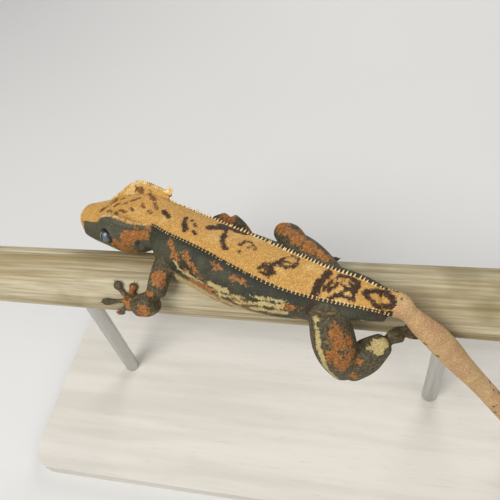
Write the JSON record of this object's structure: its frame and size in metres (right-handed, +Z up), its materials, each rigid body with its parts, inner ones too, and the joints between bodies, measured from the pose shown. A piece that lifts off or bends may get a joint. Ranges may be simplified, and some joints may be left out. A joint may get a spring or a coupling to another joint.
{
  "type": "crested gecko figure",
  "caption": "Life-size crested gecko sprawled along a length of bamboo cane, tail hanging, held by a plain display stand.",
  "frame": {"origin": "middle of the underside of the stand's base", "axes": "+Z up, +X along the cane towards the tail end, -Y towards the animal's left side, which faces the viewer"},
  "size_m": [0.17, 0.084, 0.0883],
  "materials": {
    "back_skin": "finely scaled skin, cream back and dark olive flanks with orange and brown markings",
    "limb_skin": "finely scaled skin, grey-green with orange blotches",
    "tail_skin": "finely scaled pinkish-tan skin with small dark dots",
    "eye": "wet grey-blue eye with an upright slit pupil, no lids",
    "cane": "dry weathered bamboo cane with lengthwise grooves",
    "stand_board": "plain dark display base",
    "stand_steel": "plain steel rod"
  },
  "bodies": {
    "root": {"head": "back_skin", "neck": "back_skin", "chest": "back_skin", "belly": "back_skin", "hips": "back_skin", "tail_1": "tail_skin", "tail_2": "tail_skin", "tail_3": "tail_skin", "tail_4": "tail_skin", "left_fore_upper": "limb_skin", "left_fore_lower": "limb_skin", "left_fore_foot": "limb_skin", "left_hind_upper": "limb_skin", "left_hind_lower": "limb_skin", "left_hind_foot": "limb_skin", "right_fore_upper": "limb_skin", "right_fore_lower": "limb_skin", "right_fore_foot": "limb_skin", "right_hind_upper": "limb_skin", "right_hind_lower": "limb_skin", "right_hind_foot": "limb_skin", "eye_left": "eye", "eye_right": "eye", "perch": "cane", "stand_base": "stand_board", "stand_rod_left": "stand_steel", "stand_rod_right": "stand_steel"}
  },
  "joints": []
}
